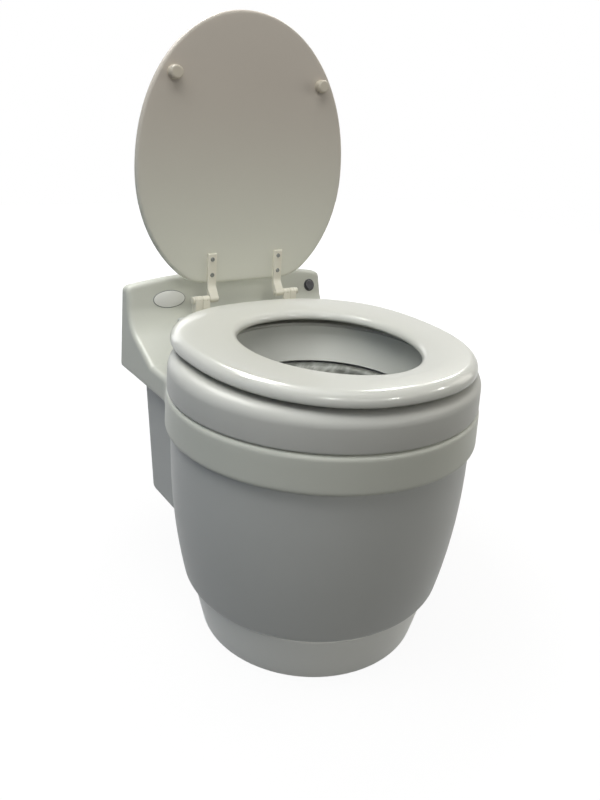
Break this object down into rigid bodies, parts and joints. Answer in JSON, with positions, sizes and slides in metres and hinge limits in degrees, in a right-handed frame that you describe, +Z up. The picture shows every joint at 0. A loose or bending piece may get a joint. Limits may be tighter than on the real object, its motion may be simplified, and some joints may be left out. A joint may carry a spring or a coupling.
{
  "type": "dry flush toilet",
  "caption": "Floor-standing dry flush toilet: round tapered body, rear console with a flush button, liner cartridge on a driven turntable, and a hinged seat and lid on a lift-off bowl ring.",
  "frame": {"origin": "centre of the flat underside of the base, on the floor, on the axis of the bowl", "axes": "+Z up along the bowl axis, -Y towards the front, +X towards the flush button"},
  "size_m": [0.4147, 0.4964, 0.8247],
  "materials": {
    "base_white": "smooth moulded, slightly glossy",
    "body_white": "satin moulded shell",
    "housing_white": "satin moulded shell",
    "ring_white": "satin moulded shell",
    "seat_gloss": "glossy warm white",
    "lid_matte": "flat board, soft satin",
    "hinge_ivory": "ivory moulded plastic",
    "bumper_white": "soft plastic",
    "skirt_grey": "smooth moulded",
    "steel": "plated steel",
    "foil": "crinkled metallised film",
    "cartridge_white": "moulded tray",
    "gear_acetal": "acetal",
    "motor_grey": "zinc-plated can",
    "battery_grey": "shrink-wrapped pack",
    "board_green": "coated board",
    "black_plastic": "black moulded",
    "black_rubber": "elastomer"
  },
  "bodies": {
    "housing": {"base_plinth": "base_white", "base_screws": "steel", "body_shell": "body_white", "upper_housing": "housing_white", "rear_cover": "body_white", "rear_cover_screws": "steel", "battery_pack": "battery_grey", "battery_strap": "black_rubber", "control_board": "board_green", "drive_deck": "cartridge_white", "deck_screws": "steel", "glide_pads": "gear_acetal", "drive_motor": "motor_grey", "fan_housing": "black_plastic", "fan_motor": "motor_grey", "charge_jack": "black_plastic", "flush_bezel": "black_plastic", "flush_switch": "black_plastic"},
    "turntable": {"turntable": "gear_acetal", "cartridge_magazine": "cartridge_white", "cartridge_core": "cartridge_white", "liner_pack": "foil", "liner_film": "foil"},
    "pinion": {"drive_pinion": "gear_acetal"},
    "fan": {"fan_impeller": "black_plastic"},
    "shroud": {"bowl_ring": "ring_white", "bowl_skirt": "skirt_grey", "rim_seal": "black_rubber", "hinge_posts": "hinge_ivory", "hinge_nuts": "hinge_ivory", "hinge_pins": "hinge_ivory"},
    "seat": {"seat_ring": "seat_gloss", "seat_bumpers": "bumper_white", "seat_leaves": "hinge_ivory", "seat_leaf_screws": "steel"},
    "lid": {"lid_panel": "lid_matte", "lid_bumpers": "bumper_white", "lid_arms": "hinge_ivory", "lid_arm_screws": "steel"},
    "button": {"flush_button": "black_plastic"}
  },
  "joints": [
    {"name": "turntable_spin", "type": "hinge", "parent": "housing", "child": "turntable", "pos_m": [0, 0, 0.25], "axis": [0, 0, 1], "continuous": true},
    {"name": "pinion_spin", "type": "hinge", "parent": "housing", "child": "pinion", "pos_m": [0.06183, 0.19031, 0.25], "axis": [0, 0, 1], "continuous": true},
    {"name": "fan_spin", "type": "hinge", "parent": "housing", "child": "fan", "pos_m": [-0.078, 0.184, 0.225], "axis": [0, 0, 1], "continuous": true},
    {"name": "shroud_lift", "type": "slide", "parent": "housing", "child": "shroud", "axis": [0, 0, 1], "range_m": [0, 0.15]},
    {"name": "seat_hinge", "type": "hinge", "parent": "shroud", "child": "seat", "pos_m": [0, 0.2146, 0.3991], "axis": [-1, 0, 0], "range_deg": [0, 90.5]},
    {"name": "lid_hinge", "type": "hinge", "parent": "shroud", "child": "lid", "pos_m": [0, 0.2146, 0.3991], "axis": [-1, 0, 0], "range_deg": [-91.2, 0]},
    {"name": "flush_press", "type": "slide", "parent": "housing", "child": "button", "axis": [0, 0.9703, -0.2419], "range_m": [0, 0.003], "stiffness_N_per_m": 300}
  ],
  "couplings": [
    {"joint": "pinion_spin", "follows": "turntable_spin", "ratio": -5.25}
  ]
}
